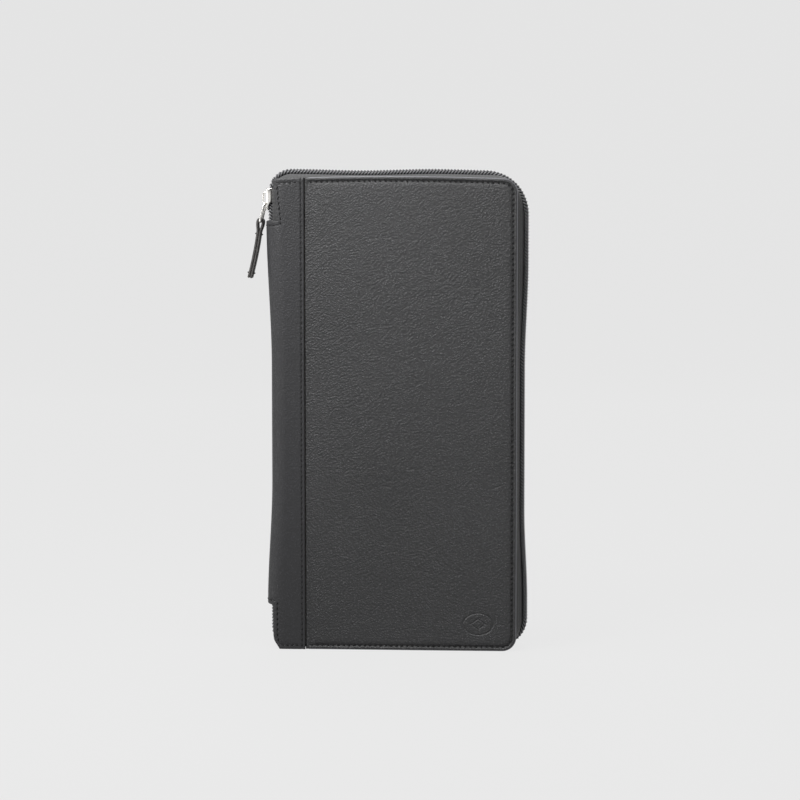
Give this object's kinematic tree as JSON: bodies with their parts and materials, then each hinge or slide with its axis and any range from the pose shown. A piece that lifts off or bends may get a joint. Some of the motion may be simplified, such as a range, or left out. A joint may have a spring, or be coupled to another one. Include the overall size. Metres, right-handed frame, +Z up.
{
  "type": "travel document organizer",
  "caption": "Zip-around leather travel wallet with a book-fold spine, a zipper round three sides and a leather pull, holding card slots, document pockets and a pen loop.",
  "frame": {"origin": "on the ground under the middle of the whole standing object, with the hanging zipper pull counted in its width", "axes": "+X from the spine to the free edge, +Y from the front cover to the back cover, +Z up along the spine"},
  "size_m": [0.1406, 0.026, 0.2396],
  "materials": {
    "cover_leather": "charcoal black nappa leather with a soft pebbled grain",
    "spine_leather": "charcoal black nappa leather, smoother over the spine",
    "board": "grey bookbinding board",
    "lining": "black woven twill lining",
    "zipper_tape": "black woven polyester zipper tape",
    "zipper_coil": "glossy black nylon coil",
    "slider_nickel": "polished nickel-plated zinc",
    "pull_leather": "black leather with painted edges",
    "pocket_leather": "thin smooth black leather with creased edges",
    "elastic": "black ribbed elastic"
  },
  "bodies": {
    "back": {"back_cover_leather": "cover_leather", "back_cover_board": "board", "back_cover_lining": "lining", "back_spine_strip": "spine_leather", "back_zipper_tape": "zipper_tape", "back_zipper_coil": "zipper_coil", "ticket_pocket": "pocket_leather", "passport_pocket": "pocket_leather", "pen_loop": "elastic"},
    "spine": {"spine_leather": "spine_leather", "spine_stiffener": "board", "spine_lining": "lining", "zipper_top_end": "zipper_tape", "zipper_foot_end": "zipper_tape"},
    "front": {"front_cover_leather": "cover_leather", "front_cover_board": "board", "front_cover_lining": "lining", "front_spine_strip": "spine_leather", "front_zipper_tape": "zipper_tape", "front_zipper_coil": "zipper_coil", "card_panel": "pocket_leather", "card_slot_1": "pocket_leather", "card_slot_2": "pocket_leather", "card_slot_3": "pocket_leather", "card_slot_4": "pocket_leather", "boarding_pass_pocket": "pocket_leather"},
    "slider": {"slider_body": "slider_nickel", "slider_bridge": "slider_nickel"},
    "link": {"pull_link": "slider_nickel"},
    "strap": {"pull_strap": "pull_leather"}
  },
  "joints": [
    {"name": "spine_fold", "type": "hinge", "parent": "back", "child": "spine", "pos_m": [-0.05752, 0.01036, 0.118], "axis": [0, 0, -1], "range_deg": [0, 90]},
    {"name": "cover_fold", "type": "hinge", "parent": "spine", "child": "front", "pos_m": [-0.05752, -0.01036, 0.118], "axis": [0, 0, -1], "range_deg": [0, 90]},
    {"name": "slider_travel", "type": "slide", "parent": "spine", "child": "slider", "axis": [0, 0, 1], "range_m": [0, 0.006]},
    {"name": "link_swing", "type": "hinge", "parent": "slider", "child": "link", "pos_m": [-0.06113, 0, 0.22253], "axis": [0, 1, 0], "range_deg": [0, 120]},
    {"name": "strap_swing", "type": "hinge", "parent": "link", "child": "strap", "pos_m": [-0.06343, 0, 0.21331], "axis": [0, 1, 0], "range_deg": [-11, 75]}
  ],
  "couplings": [
    {"joint": "cover_fold", "follows": "spine_fold", "ratio": 1}
  ]
}
